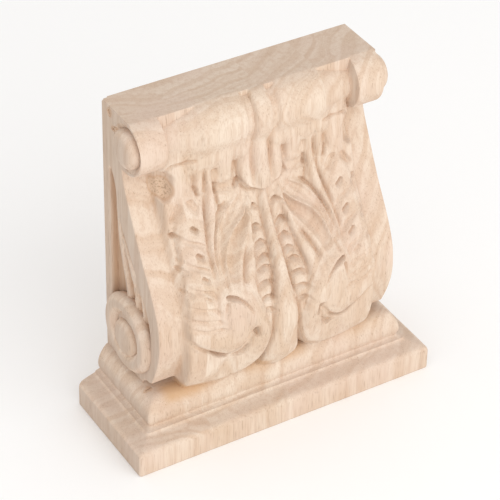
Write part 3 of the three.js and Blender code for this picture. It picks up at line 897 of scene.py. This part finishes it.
# %% Fibres, pores and places that differ
fibres = noise(drawn_out, 1.6, 4.0, 0.62)
streaks = noise(drawn_out, 0.32, 3.0, 0.55)
pores = noise(drawn_out, 2.1, 1.0, 0.4).step(0.645, 0.72) * bands.step(0.3, 0.6)
patches = noise(mm, 0.022, 3.0)
fuzz = noise(mm, 3.2, 2.0)
# The painted shade of the hollows, and above 1 the marks of torn wood.
depth = Field.node("ShaderNodeAttribute", {}, output="Fac", attribute_name="shade_and_torn")
up, sideways = part(facing, "Z"), part(facing, "X")
end_grain = (up * up).step(0.42, 0.97)
# Faces turned to the sides get painted shade, a greyer and darker tint than the front's.
painted_side_shade = (sideways * sideways).step(0.75, 0.98)
# Painted shade in the undercut above the foot, under the bands and scrolls, stronger on the left.
across = (east * east) ** 0.5
under_bands = across.step(36.0, 52.0) * (1.0 - across.step(66.0, 75.0))
under_bands = under_bands * (1.0 - east.step(0.0, 10.0) * 0.7)
under_scrolls = across.step(3.0, 8.0) * (1.0 - across.step(16.0, 24.0)) * 0.7
painted_shade_under_leaf = (under_bands + under_scrolls) * upright.step(28.5, 34.5)
painted_shade_under_leaf = painted_shade_under_leaf * (1.0 - upright.step(38.0, 41.0)) * (0.0 - north).step(8.0, 15.0)
torn = noise(mm, 0.9, 2.0).step(0.5, 0.66) * depth.step(1.0, 1.3)

# %% Colour in layers
# From the palest timber through the bands, streaks and pores to the painted brown shade of the
# hollows. Each layer has a share, which says where it shows, and a colour.
layers = [
    (bands.step(0.34, 0.7), (211, 187, 164)),
    (streaks.step(0.42, 0.74) * 0.6, (200, 171, 146)),
    (patches.step(0.42, 0.72) * 0.5, (219, 196, 181)),
    (fibres.step(0.45, 0.75) * 0.5, (186, 156, 130)),
    (stave * 0.22, (208, 178, 156)),
    (pores * 0.4, (146, 110, 80)),
    (end_grain * 0.25, (176, 158, 146)),
    # painted shade on the side faces
    (painted_side_shade * 0.4, (178, 160, 145)),
    # painted shade: warm brown in the hollows
    (depth.step(0.1, 1.0) * 0.46, (182, 136, 94)),
    # painted shade under the leaf, patchy
    (painted_shade_under_leaf * (0.6 + patches * 0.35), (202, 163, 122)),
    (depth.step(1.0, 1.25) * 0.6, (216, 192, 168)),
    (torn * 0.45, (132, 98, 70)),
]
wood_colour = colour(224, 207, 189)
for share, tint in layers:
    wood_colour = blend(share, wood_colour, colour(*tint))
print("colour of", len(layers), "layers")

# %% [markdown]
# ## Sheen and fine relief
# Raw wood hardly shines, and its pores and the marks of the tools catch the light. They are far finer
# than the mesh, so a bump in the material stands in for them.

# %% Sheen and fine relief
sheen = 0.66 + fibres * 0.12 + pores * 0.1 + end_grain * 0.06
tool_marks = noise(stretched(mm, (1.0, 1.0, 0.4)), 0.22, 1.0)
fine_height = tool_marks * 0.22 + fibres * 0.1 - pores * 0.12 + fuzz * 0.03 + streaks * 0.12
bump = {"Strength": 0.8, "Distance": 0.001, "Height": fine_height}
fine_relief = Field.node("ShaderNodeBump", bump)
surface = nodes.new("ShaderNodeBsdfPrincipled")
surface.inputs["Specular IOR Level"].default_value = 0.32
links.new(wood_colour.socket, surface.inputs["Base Color"])
links.new(sheen.socket, surface.inputs["Roughness"])
links.new(fine_relief.socket, surface.inputs["Normal"])
links.new(surface.outputs[0], nodes.new("ShaderNodeOutputMaterial").inputs["Surface"])

# %% The bracket takes its material, body and slot
CREASE = 38  # degrees between two faces from which their edge is shown sharp
mesh.materials.clear()
mesh.materials.append(timber)
mesh.polygons.foreach_set("material_index", np.zeros(len(mesh.polygons), np.int32))
mesh.polygons.foreach_set("use_smooth", np.ones(len(mesh.polygons), bool))
mesh.set_sharp_from_angle(angle=np.radians(CREASE))
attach(bracket, "root")
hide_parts("carved_bracket")
print("timber of", len(nodes), "nodes")


# %% [markdown]
# ## Floor, light and camera
# The bracket stands on a plain pale floor in soft white light, with a broad light in front and a
# weaker one from the left. Small lamps would draw hard shadows, so both lights are large squares. The
# camera looks down from the front left; its place was fitted to the edges of the real block.

# %% Floor
floor_mesh = bpy.data.meshes.new("floor")
floor_mesh.from_pydata([(-3, -3, 0), (3, -3, 0), (3, 3, 0), (-3, 3, 0)], [], [(0, 1, 2, 3)])
floor = bpy.data.objects.new("floor", floor_mesh)
bpy.context.scene.collection.objects.link(floor)
paper = bpy.data.materials.new("floor")
paper.use_nodes = True
paper_inputs = paper.node_tree.nodes["Principled BSDF"].inputs
paper_inputs["Base Color"].default_value = (0.96, 0.96, 0.96, 1)
paper_inputs["Roughness"].default_value = 0.9
floor_mesh.materials.append(paper)

# %% Light
world = bpy.data.worlds.new("studio")
bpy.context.scene.world = world
world.use_nodes = True
background = world.node_tree.nodes["Background"].inputs
background["Color"].default_value = (1, 0.99, 0.98, 1)
background["Strength"].default_value = 0.87


def broad_light(name, watts, size, place, tint):
    """A square light of that size in metres, turned towards the middle of the bracket."""
    light = bpy.data.lights.new(name, "AREA")
    light.energy, light.size, light.color = watts, size, tint
    made = bpy.data.objects.new(name, light)
    made.location = place
    towards = Vector(place) - Vector((0, 0, HEIGHT / 2000))
    made.rotation_euler = towards.to_track_quat("Z", "Y").to_euler()
    bpy.context.scene.collection.objects.link(made)
    print(name, "light of", watts, "watts,", round(towards.length, 2), "m away")


broad_light("key", 18, 2.2, (0.3, -1.6, 0.95), (1, 0.985, 0.96))
broad_light("fill", 3, 2.0, (-1.3, -1.1, 0.9), (0.97, 0.985, 1))

# %% Camera
AZIMUTH, HEIGHT_ANGLE, ROLL_ANGLE = -31.81, 36.76, 1.23  # degrees
STAND = (16.2, 58.37, 1372.5)  # mm to its right, up and away, from the foot of the back
LENS, SENSOR = 168.5, 36
azimuth, height_angle, roll_angle = np.radians([AZIMUTH, HEIGHT_ANGLE, ROLL_ANGLE])
away = np.array([np.sin(azimuth) * np.cos(height_angle), -np.cos(azimuth) * np.cos(height_angle),
                 np.sin(height_angle)])
level_right = np.array([np.cos(azimuth), np.sin(azimuth), 0])
axes = np.array([level_right, np.cross(away, level_right), away])
roll = np.array([[np.cos(roll_angle), np.sin(roll_angle), 0],
                 [-np.sin(roll_angle), np.cos(roll_angle), 0], [0, 0, 1]])
turned_axes = roll @ axes
stand = turned_axes.T @ np.array(STAND) + np.array([0, BACK_Y, 0])
camera = bpy.data.objects.new("camera", bpy.data.cameras.new("camera"))
camera.matrix_world = Matrix(turned_axes.T.tolist()).to_4x4()
camera.location = (stand / 1000).tolist()
camera.data.lens, camera.data.sensor_width = LENS, SENSOR
camera.data.dof.use_dof = False
bpy.context.scene.collection.objects.link(camera)
bpy.context.scene.camera = camera
bpy.context.scene.view_settings.view_transform = "Standard"
print("camera at", stand.round(1), "mm")
